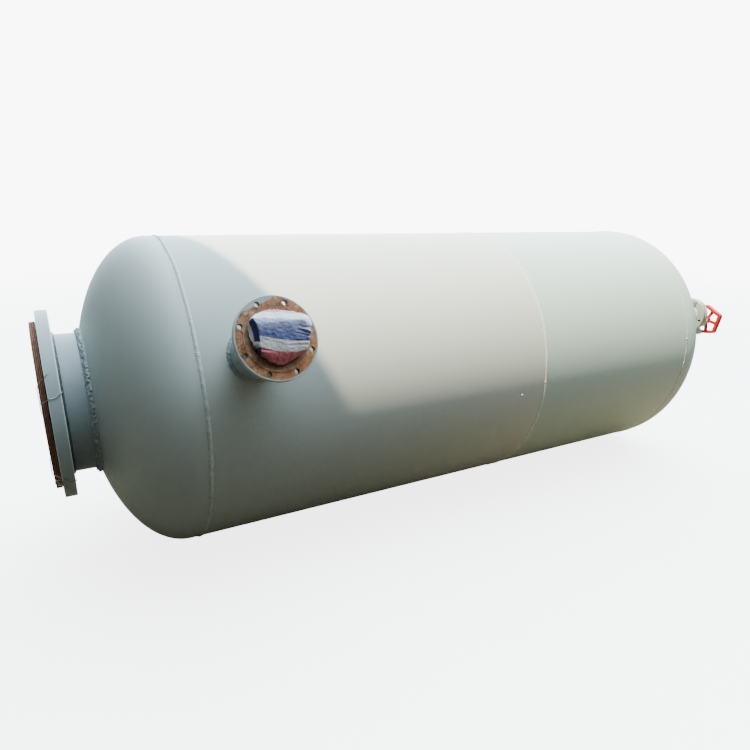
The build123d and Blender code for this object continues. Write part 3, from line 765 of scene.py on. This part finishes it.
def rusty_flange():
    """Face of the side flange: rust, a smooth dark seat round the bore, and paint left along one
    edge, on the rim and in flecks. Places on the face come from dot products with the nozzle's own
    directions."""
    surface, at = material("rusty_flange")
    local = vectors("SUBTRACT", at, (NOZZLE_X, 0, 0))
    u, v, out = (
        vectors("DOT_PRODUCT", local, tuple(way)) for way in (along, nozzle_up, nozzle_out)
    )
    radius = sums("SQRT", plus(times(u, u), times(v, v)))
    tones = {
        "Pale": (0.84, 0.60, 0.41),
        "Middle": (0.50, 0.220, 0.098),
        "Deep": (0.155, 0.060, 0.030),
    }
    rust = place(rust_scale, {"Place": at, "Size": 1.25, "Age": -0.015} | tones)
    specks = fade(noise(at, 260.0, 3.0, 0.6), 0.60, 0.68)
    speckled = blend(times(specks, 0.45), rust["Color"], (0.80, 0.70, 0.60))
    dark_specks = fade(noise(at, 190.0, 3.0, 0.6), 0.62, 0.70)
    speckled = blend(times(dark_specks, 0.55), speckled, (0.13, 0.055, 0.035))
    low_side = fade(less(times(u, 0.5), v), -0.02, 0.16)
    colour = blend(times(low_side, 0.42), speckled, (0.46, 0.145, 0.045))
    wobble = times(less(noise(at, 30.0), 0.5), 0.016)
    seat = plus(radius, wobble)
    ring = less(1.0, fade(seat, 0.124, SEAT_EDGE))
    groove = times(sums("SINE", times(radius, 1500)), 0.5)
    seat_tone = fade(noise(at, 45.0, 4.0, 0.6), 0.3, 0.75)
    seat_colour = blend(seat_tone, (0.20, 0.10, 0.06), (0.36, 0.21, 0.13))
    colour = blend(times(ring, 0.85), colour, seat_colour)
    slope = plus(times(u, -0.34), times(v, 0.94))
    chord = plus(slope, times(wobble, 1.4))
    left_paint = fade(chord, 0.142, 0.147)
    edge = fade(plus(radius, times(wobble, 0.35)), 0.161, 0.1655)
    behind = less(1.0, fade(out, NOZZLE_FACE - 0.0052, NOZZLE_FACE - 0.004))
    painted = sums("MAXIMUM", left_paint, edge)
    flecks = fade(noise(at, 38.0, 5.0, 0.7), 0.62, 0.68)
    painted = sums("MAXIMUM", painted, times(flecks, 0.6))
    inside = sums("GREATER_THAN", radius, SEAT_EDGE)
    painted = sums("MAXIMUM", times(painted, inside), behind)
    coat = coated(at, (0.47, 0.50, 0.48), 0.1, 0.1, 0.3, 0.4)
    colour = blend(painted, colour, coat["Color"])
    # Bolt-hole walls are painted near black: painted shadow inside the holes
    pitch = 2 * np.pi / NOZZLE_HOLES
    turned = sums("DIVIDE", sums("ARCTAN2", v, u), pitch)
    turned = times(less(sums("FRACT", plus(turned, 8.0)), 0.5), pitch)
    aside = times(sums("SINE", turned), radius)
    ahead = sums("MULTIPLY_ADD", sums("COSINE", turned), radius, -NOZZLE_CIRCLE)
    off = plus(times(aside, aside), times(ahead, ahead))
    hole_wall_shadow = sums("LESS_THAN", sums("SQRT", off), HOLE_EDGE)
    hole_wall_shadow = times(hole_wall_shadow, sums("LESS_THAN", out, NOZZLE_FACE - 0.0038))
    colour = blend(hole_wall_shadow, colour, (0.020, 0.018, 0.016))
    rough = less(rust["Roughness"], times(painted, 0.3))
    scale = times(rust["Height"], less(1.15, ring))
    height = plus(scale, times(times(groove, ring), 0.12))
    height = plus(height, times(painted, 0.25))
    finish(surface, colour, rough, (height, 0.7, 0.0016))


def weathered_plywood():
    """Plywood: dark and pale plies by depth, end grain and face grain as stretched noise,
    and pale torn splinters on the outer face."""
    surface, at = material("weathered_plywood")
    x = parts(at)["X"]
    depth = times(less(x, COVER_OUTSIDE), 1 / PLY)
    layers = fade(sums("SINE", times(depth, np.pi)), -0.3, 0.3)
    fibre = noise(stretched(at, (9.0, 1.0, 1.0)), 60.0, 6.0, 0.7)
    grain = noise(stretched(at, (1.0, 9.0, 0.7)), 12.0, 6.0, 0.65, 0.5)
    dark = blend(fibre, (0.09, 0.030, 0.018), (0.36, 0.15, 0.095))
    pale = blend(fibre, (0.22, 0.085, 0.055), (0.62, 0.34, 0.24))
    edge = blend(layers, dark, pale)
    face = blend(grain, (0.20, 0.10, 0.06), (0.40, 0.24, 0.15))
    torn = fade(noise(at, 14.0, 7.0, 0.75), 0.60, 0.66)
    face = blend(times(torn, 0.8), face, (0.74, 0.66, 0.54))
    outer = sums("LESS_THAN", x, COVER_OUTSIDE + 0.0008)
    colour = blend(outer, edge, face)
    spots = fade(noise(at, 55.0, 3.0, 0.5), 0.68, 0.73)
    colour = blend(times(spots, 0.6), colour, (0.60, 0.45, 0.33))
    finish(surface, colour, 0.85, (plus(fibre, grain), 0.8, 0.0015), 0.2)


def striped_cloth():
    """Woven plastic cloth. The stripes follow the cloth's own map, slanted, each with its own bow
    and with edges that step with the tapes. The blue is darker low down, and the part folded under
    at the left is painted darkest: painted shade, a deep blue where its blue stripes lie."""
    surface = material("striped_cloth")[0]
    cloth = put("ShaderNodeUVMap", {}, surface.id_data, uv_map="cloth").outputs[0]
    u, v = parts(cloth)["X"], parts(cloth)["Y"]
    weave = place(tape_weave, {"Cloth": cloth, "Tapes": 330.0})
    wavering = sums("MULTIPLY_ADD", noise(cloth, 60.0, 3.0), 0.020, u)
    teeth = times(sums("PINGPONG", wavering, 0.0042), 0.55)
    wander = sums("MULTIPLY_ADD", noise(cloth, 38.0, 2.0), 0.008, -0.0045)
    slanted = plus(sums("MULTIPLY_ADD", u, 0.17, v), plus(teeth, wander))

    def above(level, bow, middle):
        """One above a level that bends with the square of the distance from its middle."""
        side = less(u, middle)
        bend = times(times(side, side), bow)
        return fade(less(slanted, plus(bend, level)), -0.0006, 0.0006)

    grain = noise(stretched(cloth, (60.0, 190.0, 1.0), -58), 1.0, 3.0, 0.6)
    paler = fade(grain, 0.40, 0.72)
    colour = blend(above(-0.060, 1.5, 0.0), CLOTH_RED, CLOTH_GREY)
    blue = blend(fade(slanted, -0.012, 0.058), CLOTH_DEEP_BLUE, CLOTH_BLUE)
    blue = blend(times(paler, 0.30), blue, (0.48, 0.50, 0.68))
    colour = blend(above(-0.0165, 0.7, 0.03), colour, blue)
    over_blue = above(0.0655, -0.6, 0.02)
    colour = blend(over_blue, colour, CLOTH_WHITE)
    colour = blend(above(0.0945, -0.9, 0.03), colour, CLOTH_PINK)
    high = sums("MAXIMUM", v, 0.0)
    past = less(sums("MULTIPLY_ADD", times(high, high), -FOLD_BEND, -0.0835), u)
    under = times(fade(past, -0.0006, 0.0010), less(1.0, over_blue))
    # Painted shade on the part folded under
    shaded_fold_colour = blend(above(-0.029, 0.0, 0.0), CLOTH_GREY, CLOTH_SHADED_BLUE)
    shaded_fold_colour = blend(above(-0.050, 0.0, 0.0), CLOTH_SHADED_BLUE, shaded_fold_colour)
    hem = fade(past, 0.0150, 0.0170)
    colour = blend(under, colour, blend(hem, shaded_fold_colour, CLOTH_GREY))
    # Painted shade and sheen of the tapes, times the grain's real streaks
    shade = sums("MULTIPLY_ADD", weave["Tint"], 0.22, 0.84)
    shade = times(shade, sums("MULTIPLY_ADD", grain, 0.36, 0.82))
    height = plus(weave["Height"], times(grain, 2.0))
    tinted = vectors("SCALE", colour, shade)
    finish(surface, tinted, 0.5, (height, 0.5, 0.0006), 0.35, sheen=0.15)


def plain_metal(name, colour, roughness, rust_amount):
    """Bare or galvanised steel with some rust."""
    surface, at = material(name)
    rust = place(rust_scale, {"Place": at, "Size": 2.0, "Age": 0.0})
    mask = fade(noise(at, 70.0, 5.0, 0.6), 0.62 - rust_amount * 0.3, 0.72)
    base = blend(noise(at, 150.0, 4.0), tuple(0.7 * c for c in colour), colour)
    rough = sums("MULTIPLY_ADD", mask, 0.35, roughness)
    metallic = sums("SUBTRACT", 0.9, mask, clamp=True)
    bump = rust["Height"], 0.4, 0.0004
    finish(surface, blend(mask, base, rust["Color"]), rough, bump, metallic=metallic)


def red_handwheel():
    """Thick red paint over a casting, chipped here and there, and darker in the hollows of its bump
    as painted shade.
    """
    surface, at = material("handwheel_red")
    cast = noise(at, 240.0, 4.0, 0.6)
    tone = noise(at, 30.0, 4.0, 0.6)
    # Painted shade: the red darkens where the tone, which also raises the bump, is low
    colour = blend(tone, (0.36, 0.003, 0.006), (0.58, 0.009, 0.014))
    chips = fade(noise(at, 75.0, 5.0, 0.7), 0.70, 0.73)
    colour = blend(times(chips, 0.7), colour, (0.12, 0.05, 0.04))
    finish(surface, colour, 0.45, (plus(cast, tone), 0.5, 0.0007), 0.30)


def cast_paint():
    """Grey paint on a rough casting, with rust showing in its low places."""
    surface, at = material("valve_casting")
    made = coated(at, (0.44, 0.47, 0.45), 0.15, 0.2, 0.2, 0.42, dust=(0.55, 0.52, 0.46))
    rust = place(rust_scale, {"Place": at, "Size": 1.6, "Age": 0.0})
    mask = fade(noise(at, 26.0, 6.0, 0.7), 0.63, 0.70)
    colour = blend(mask, made["Color"], rust["Color"])
    bump = noise(at, 190.0, 5.0, 0.6), 0.5, 0.0012
    finish(surface, colour, plus(made["Roughness"], mask), bump)


def jointing_sheet():
    """Nearly black gasket in two tones."""
    surface, at = material("gasket_sheet")
    tone = noise(at, 120.0)
    colour = blend(tone, (0.03, 0.03, 0.03), (0.09, 0.085, 0.08))
    fill(surface, {"Base Color": colour, "Roughness": 0.8})


GREY = (0.520, 0.548, 0.520)
GREENER = (0.445, 0.545, 0.515)
# Name, colour, clouding, dust, scuffs, roughness and depth of the skin
for row in (
    ("shell_paint", GREY, 0.05, 0.10, 0.02, 0.40, 0.0004),
    ("right_shell_paint", GREENER, 0.05, 0.10, 0.02, 0.40, 0.0004),
    ("neck_paint", (0.500, 0.525, 0.505), 0.08, 0.10, 0.22, 0.40, 0.0006),
    # Necks: grey darkened as painted shade
    ("shade_darkened_neck_paint", (0.30, 0.34, 0.35), 0.15, 0.10, 0.30, 0.36, 0.0006),
    # Outlet flange: grey darkened as painted shade
    ("shade_darkened_flange_paint", (0.315, 0.345, 0.330), 0.08, 0.30, 0.20, 0.34, 0.0006),
):
    painted_steel(*row)
# Name, colour and scuffs
for row in (
    ("bead_paint", (0.540, 0.566, 0.540), 0.15),
    # Middle girth bead: paint made paler as a painted highlight
    ("highlight_bead_paint", (0.66, 0.69, 0.66), 0.10),
    # End neck's weld: grey darkened as painted shade
    ("shade_darkened_rough_bead_paint", (0.330, 0.365, 0.365), 0.35),
    # Side neck's welds: grey darkened as painted shade
    ("neck_bead_paint", (0.330, 0.360, 0.345), 0.02),
    # Near-black bead: painted shadow in the crevice behind the end flange
    ("dark_bead_paint", (0.060, 0.075, 0.080), 0.02),
):
    weld_metal(*row)
end_flange_finish()
rusty_flange()
weathered_plywood()
striped_cloth()
# Name, colour, roughness and amount of rust
for row in (
    ("fastener_steel", (0.56, 0.56, 0.54), 0.38, 0.25),
    ("wire_steel", (0.62, 0.62, 0.58), 0.32, 0.05),
    ("stem_steel", (0.60, 0.60, 0.58), 0.25, 0.10),
    ("gland_brass", (0.72, 0.55, 0.24), 0.34, 0.0),
):
    plain_metal(*row)
red_handwheel()
cast_paint()
jointing_sheet()


def fit(piece, paint, node=None):
    """Material and body of a new piece, and hides the solid it stands for."""
    piece.data.materials.append(paints[paint])
    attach(piece, "tank")
    if node:
        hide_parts(node)
    return piece


# The model's own solids in each finish
finishes = {
    "shell_paint": "left_head left_shell_course",
    "right_shell_paint": "right_shell_course right_head",
    # End and side necks: paint darkened as painted shade
    "shade_darkened_neck_paint": "end_neck side_neck",
    "neck_paint": "outlet_neck",
    # Outlet flange: paint darkened as painted shade
    "shade_darkened_flange_paint": "outlet_flange",
    "end_flange_paint": "end_flange",
    "bead_paint": "end_flange_face_weld outlet_flange_face_weld",
    "rusty_flange": "side_flange side_flange_face_weld",
    "gasket_sheet": "outlet_gasket",
    "fastener_steel": "outlet_studs bonnet_bolts handwheel_nut",
    "valve_casting": "valve_body bonnet",
    "gland_brass": "packing_nut",
    "stem_steel": "valve_stem",
    "handwheel_red": "handwheel",
}
for paint, nodes in finishes.items():
    for node in nodes.split():
        coats = frame["nodes"][node].data.materials
        coats.clear()
        coats.append(paints[paint])

# Beads

# Side, seam, width, height and seed
seam_beads = (
    ("left", LEFT_SEAM, 0.022, 0.0040, 21),
    ("middle", MIDDLE_SEAM, 0.019, 0.0034, 31),
    ("right", RIGHT_SEAM, 0.019, 0.0034, 41),
)
for side, seam, width, height, seed in seam_beads:
    bead = girth_bead(f"{side}_girth_bead", seam, width, height, BEAD_PITCH, seed)
    # The middle bead takes the paler paint as a painted highlight
    paint = "highlight_bead_paint" if side == "middle" else "bead_paint"
    fit(bead, paint, f"{side}_girth_weld")
# Side, from and to which seam, angle above +Y and seed
for side, start, end, angle, seed in (
    ("left", LEFT_SEAM, MIDDLE_SEAM, 52, 51),
    ("right", MIDDLE_SEAM, RIGHT_SEAM, 96, 61),
):
    ends = (start + SEAM_GAP, end - SEAM_GAP)
    bead = course_bead(f"{side}_course_bead", *ends, angle, 0.016, 0.0026, BEAD_PITCH, seed)
    fit(bead, "bead_paint", f"{side}_course_weld")

y_axis = np.array([0.0, 1.0, 0.0])
z_axis = np.array([0.0, 0.0, 1.0])


def head_weld():
    """Rough weld of the end neck: rings at the neck's radius and one leg wider, each on the
    head's surface, and one on the neck a leg further out."""
    leg = 0.021
    count = 1300
    foot = LEFT_SEAM - head_reach(END_NECK)
    toe = LEFT_SEAM - head_reach(END_NECK + leg)
    root = circle(along * foot, y_axis, z_axis, END_NECK, count)
    upper = circle(along * (foot - leg), y_axis, z_axis, END_NECK, count)
    lower = circle(along * toe, y_axis, z_axis, END_NECK + leg, count)
    return fillet_bead("end_neck_bead", root, upper, lower, 0.16, 0.016, 0.0021, 71, 2)


def neck_weld(name, loop, pipe, leg, pitch, rough, seed):
    """Weld of a neck on a curved plate, from a loop of points at a distance from the neck's
    axis and raised by a leg."""
    return fillet_bead(
        name, loop(pipe, 0), loop(pipe, leg), loop(pipe + leg, 0), 0.14, pitch, rough, seed
    )


def saddle_weld():
    """Weld of the side neck on the round shell: at each angle the shell's surface lies at
    the square root of the shell's radius squared less the side step squared."""
    turn = full_turn(500)

    def loop(radius, extra):
        """Points on the shell, or above it by extra, at a distance from the nozzle's axis."""
        step = radius * np.sin(turn)
        rise = np.sqrt(SHELL**2 - step**2) + extra
        lengthwise = along * NOZZLE_X + radius * np.cos(turn) * along
        return lengthwise + step * nozzle_up + rise * nozzle_out

    return neck_weld("side_neck_bead", loop, NOZZLE_PIPE, 0.013, 0.010, 0.0009, 81)


def outlet_weld():
    """Weld of the outlet neck on the right head, with the head's own curve at each angle."""
    turn = full_turn(360)

    def loop(radius, extra):
        """Points on the head, or beyond it by extra, at a distance from the neck's axis."""
        y = OUTLET_Y + radius * np.cos(turn)
        z = OUTLET_Z + radius * np.sin(turn)
        x = RIGHT_SEAM + head_reach(np.hypot(y, z)) + extra
        return np.concatenate([x, y, z], axis=1)

    return neck_weld("outlet_neck_bead", loop, OUTLET_PIPE, 0.012, 0.009, 0.0008, 91)


def flange_weld(name, back, across, up, out, pipe, leg, seed):
    """Weld between a pipe and the back of its flange."""
    count = int(2 * np.pi * pipe / BEAD_STEP)
    root = circle(back, across, up, pipe, count)
    upper = circle(back - out * leg, across, up, pipe, count)
    lower = circle(back, across, up, pipe + leg, count)
    return fillet_bead(name, root, upper, lower, 0.14, 0.009, 0.0007, seed)


# The end neck's weld is darkened as painted shade
fit(head_weld(), "shade_darkened_rough_bead_paint", "end_neck_weld")
# The side neck's weld is darkened as painted shade
fit(saddle_weld(), "neck_bead_paint", "side_neck_weld")
fit(outlet_weld(), "bead_paint", "outlet_neck_weld")
side_seat = along * NOZZLE_X + nozzle_out * NOZZLE_BACK
outlet_seat = np.array([OUTLET_BACK, OUTLET_Y, OUTLET_Z])
# Flange, paint, seat, two directions across it, the way out, pipe, leg and seed
flange_backs = (
    # The end flange's back bead is painted near black as shadow
    ("end", "dark_bead_paint", along * END_BACK, y_axis, z_axis, -along, END_NECK, 0.011, 101),
    # The side flange's back bead is darkened as painted shade
    ("side", "neck_bead_paint", side_seat, along, nozzle_up, nozzle_out, NOZZLE_PIPE, 0.008, 111),
    ("outlet", "bead_paint", outlet_seat, y_axis, z_axis, along, OUTLET_PIPE, 0.007, 121),
)
for name, paint, *sizes in flange_backs:
    bead = flange_weld(f"{name}_flange_back_bead", *sizes)
    fit(bead, paint, f"{name}_flange_back_weld")


def shell_places(x, degrees):
    """Points on the shell and their outward directions, from x and the angle above -Y."""
    turn = np.radians(degrees)
    out = np.stack([0 * turn, -np.cos(turn), np.sin(turn)], axis=-1)
    return np.stack([x, 0 * x, 0 * x], axis=-1) + SHELL * out, out


spatter_rng = np.random.default_rng(7)
scatter = spatter_rng.integers(0, 3, SMALL_DROPS)
scatter_x = np.array([LEFT_SEAM, MIDDLE_SEAM, RIGHT_SEAM])[scatter]
scatter_x = scatter_x + spatter_rng.normal(0, 0.022, SMALL_DROPS)
scatter_turn = spatter_rng.uniform(0, 360, SMALL_DROPS)
seen_x = np.array([2.5104, 2.5069, 2.5044, 2.3333, 3.8016, 3.7962, 3.8003, 3.8111])
seen_turn = np.array([24.5, 10.7, -2.0, -6.0, 24.1, 7.4, -4.7, -10.7])
seats, seat_out = shell_places(
    np.concatenate([seen_x, scatter_x]), np.concatenate([seen_turn, scatter_turn])
)
small = spatter_rng.uniform(0.0012, 0.0028, SMALL_DROPS)
drop_radius = np.concatenate([np.full(len(seen_x), 0.0085), small])
drop_height = drop_radius * np.repeat([0.6, 0.5], [len(seen_x), SMALL_DROPS])
spatter = droplets("weld_spatter", seats, seat_out, drop_radius, drop_height)
fit(spatter, "bead_paint")

# Plywood disc and the wire that ties it

fit(plywood_disc(), "weathered_plywood", "plywood_cover")


def rim_points(x, radius, degrees):
    """Points round the end flange, from x, the radius and the angle above -Y."""
    x, radius, turn = np.array(x), np.array(radius), np.radians(degrees)
    return np.stack([x, -radius * np.cos(turn), radius * np.sin(turn)], axis=-1)


# Name, radius, then x, radius and angle of each point
wires = (
    (
        "upper_tie_wire",
        0.0016,
        [-0.034, -0.034, -0.033, -0.028, -0.012, 0.004, 0.018, 0.034, 0.048, 0.0565, 0.0575],
        [0.330, 0.380, 0.401, 0.412, 0.445, 0.4585, 0.4585, 0.4580, 0.4580, 0.4560, 0.438],
        [9.0, 14.0, 16.0, 16.6, 17.2, 18.2, 18.4, 18.8, 20.0, 21.0, 21.6],
    ),
    (
        "loose_wire_end",
        0.0016,
        [-0.033, -0.034, -0.033, -0.026, -0.010, 0.006, 0.019],
        [0.360, 0.388, 0.403, 0.420, 0.448, 0.4590, 0.4640],
        [17.0, 23.0, 26.0, 27.6, 29.2, 30.5, 31.7],
    ),
    (
        "wire_knot",
        0.0017,
        [-0.034, -0.034, -0.032, -0.013, 0.005, 0.011, 0.004, -0.009, -0.020, -0.028, -0.024, -0.012,
         -0.004, 0.002, 0.009, 0.022],
        [0.350, 0.392, 0.430, 0.456, 0.462, 0.466, 0.468, 0.462, 0.452, 0.446, 0.452, 0.464, 0.470,
         0.464, 0.460, 0.4600],
        [-27.0, -29.0, -29.5, -28.4, -30.6, -33.6, -36.0, -35.6, -33.0, -35.0, -37.0, -35.6, -33.2,
         -36.5, -40.0, -44.0],
    ),
    (
        "wire_second_loop",
        0.0017,
        [0.0575, 0.050, 0.030, 0.010, -0.004, -0.016, -0.026, -0.020, -0.008, 0.000, -0.010],
        [0.440, 0.4580, 0.4582, 0.4595, 0.464, 0.462, 0.452, 0.450, 0.458, 0.466, 0.470],
        [-37.0, -36.5, -35.0, -33.0, -31.0, -31.0, -33.5, -36.5, -37.5, -34.5, -32.5],
    ),
)
for name, radius, *route in wires:
    wire = tube(name, rim_points(*route), radius)
    fit(wire, "wire_steel")

# Bag

bag = fit(stuffed_bag(), "striped_cloth", "striped_bag")

# Stage: floor, light and camera


def seen_or_lit(light, seen):
    """Lights the scene with one shader and shows the camera another."""
    camera_ray = light.id_data.nodes.new("ShaderNodeLightPath").outputs["Is Camera Ray"]
    inputs = {0: camera_ray, 1: light.outputs[0], 2: seen.outputs[0]}
    return put("ShaderNodeMixShader", inputs).outputs[0]


def studio_floor():
    """Pale floor that fades out with distance. What it throws up is the warm light of bare
    ground, brighter to the right and beneath the tank and dark in front at the left, while
    the camera sees it pale."""
    corner = np.array([[-1, -1], [1, -1], [1, 1], [-1, 1]]) * 60.0
    mesh = bpy.data.meshes.new("floor")
    mesh.from_pydata([(x + FLOOR_X, y, FLOOR) for x, y in corner.tolist()], [], [(0, 1, 2, 3)])
    floor = show("floor", mesh)
    paint = bpy.data.materials.new("floor")
    tree, output = emptied(paint, "ShaderNodeOutputMaterial")
    lit = put("ShaderNodeBsdfDiffuse", {"Color": (0.95, 0.90, 0.86)}, tree)
    glow = put("ShaderNodeEmission", {"Color": FLOOR_GLOW}, tree)
    seen = put("ShaderNodeAddShader", {0: lit.outputs[0], 1: glow.outputs[0]})
    at = own_place(tree)
    spot = parts(at)
    toward_right = fade(spot["X"], 1.2, 3.0)
    front = blend(toward_right, SHADED_FRONT, SUNLIT_FRONT)
    below = blend(toward_right, SHADED_GROUND, SUNLIT_GROUND)
    bounce = blend(fade(spot["Y"], -1.5, -1.0), front, below)
    thrown = put("ShaderNodeBsdfDiffuse", {"Color": bounce})
    clear = tree.nodes.new("ShaderNodeBsdfTransparent")
    away = vectors("LENGTH", vectors("SUBTRACT", at, (FLOOR_X, 0, FLOOR)))
    mixed = {0: fade(away, 6.0, 24.0), 1: seen_or_lit(thrown, seen), 2: clear.outputs[0]}
    fill(output, {0: put("ShaderNodeMixShader", mixed).outputs[0]})
    mesh.materials.append(paint)
    floor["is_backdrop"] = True
    return floor


def sky():
    """Soft light from overhead and behind the tank: a smooth step of the direction's
    height along an axis that leans back. The side past the left end stays dark, and the
    horizon is dim all round. The camera sees a plain backdrop instead."""
    world = bpy.data.worlds.new("studio")
    bpy.context.scene.world = world
    tree, output = emptied(world, "ShaderNodeOutputWorld")
    direction = tree.nodes.new("ShaderNodeTexCoord").outputs["Generated"]
    leaning = vectors("DOT_PRODUCT", direction, SKY_AXIS)
    split = parts(direction)
    low = blend(fade(split["Z"], -0.10, 0.04), GROUND_GLOW, HORIZON)
    open_side = sums("MULTIPLY_ADD", fade(split["X"], -0.46, 0.32), 0.98, 0.02)
    bright = times(fade(leaning, SKY_FROM, SKY_TO), open_side)
    dome = blend(bright, low, ZENITH)
    lit = put("ShaderNodeBackground", {"Color": dome})
    plain = put("ShaderNodeBackground", {"Color": BACKDROP}, tree)
    fill(output, {0: seen_or_lit(lit, plain)})


def key_light(floor):
    """Hazy sun almost overhead, tipped to the left end, and the flag that keeps it off that
    end. The flag's straight edge and the sun's direction span the plane whose cut with the
    shell is the shade's edge. The floor takes no part, so it stays plain."""
    cut = Vector(SHADE_CUT)
    toward = Vector(SUN_TOWARD)
    toward = (toward - cut * cut.dot(toward)).normalized()
    lamp = bpy.data.lights.new("sun", "SUN")
    lamp.energy = SUN_STRENGTH
    lamp.angle = np.radians(SUN_SPREAD)
    lamp.color = SUN_TINT
    sun = show("sun", lamp)
    sun.rotation_euler = toward.to_track_quat("Z", "Y").to_euler()
    edge = cut.cross(toward).normalized()
    start = cut * SHADE_REACH + toward * FLAG_AWAY
    left, right, far = start - edge * 9, start + edge * 9, cut * -12.0
    corners = [left, right, right + far, left + far]
    mesh = bpy.data.meshes.new("flag")
    mesh.from_pydata([tuple(corner) for corner in corners], [], [(0, 1, 2, 3)])
    flag = show("flag", mesh)
    flag.visible_camera = flag.visible_diffuse = False
    flag.visible_glossy = flag.visible_transmission = False
    dull = bpy.data.materials.new("flag")
    dull.use_nodes = True
    mesh.materials.append(dull)
    flag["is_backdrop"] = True
    lit = bpy.data.collections.new("lit_by_sun")
    for thing in bpy.context.scene.objects:
        if thing.type == "MESH" and thing not in (floor, flag):
            lit.objects.link(thing)
    sun.light_linking.receiver_collection = lit


def photographer():
    """Camera at the photograph's place, turned 29 degrees to the tank's far end and looking
    down 18 degrees."""
    lens = bpy.data.cameras.new("camera")
    lens.sensor_width = SENSOR
    lens.lens = FOCAL_PIXELS / PICTURE * SENSOR
    lens.shift_x = (PICTURE / 2 - CENTRE[0]) / PICTURE
    lens.shift_y = (CENTRE[1] - PICTURE / 2) / PICTURE
    lens.clip_end = 200
    camera = show("camera", lens)
    camera.location = CAMERA_PLACE
    camera.rotation_euler = (np.radians(90 - CAMERA_TILT), 0, np.radians(-CAMERA_TURN))
    bpy.context.scene.camera = camera


floor = studio_floor()
sky()
key_light(floor)
photographer()

dressed_low, dressed_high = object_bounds()
sizes = {
    "solids": [list(solids_low), list(solids_high)],
    "dressed": [list(dressed_low), list(dressed_high)],
}
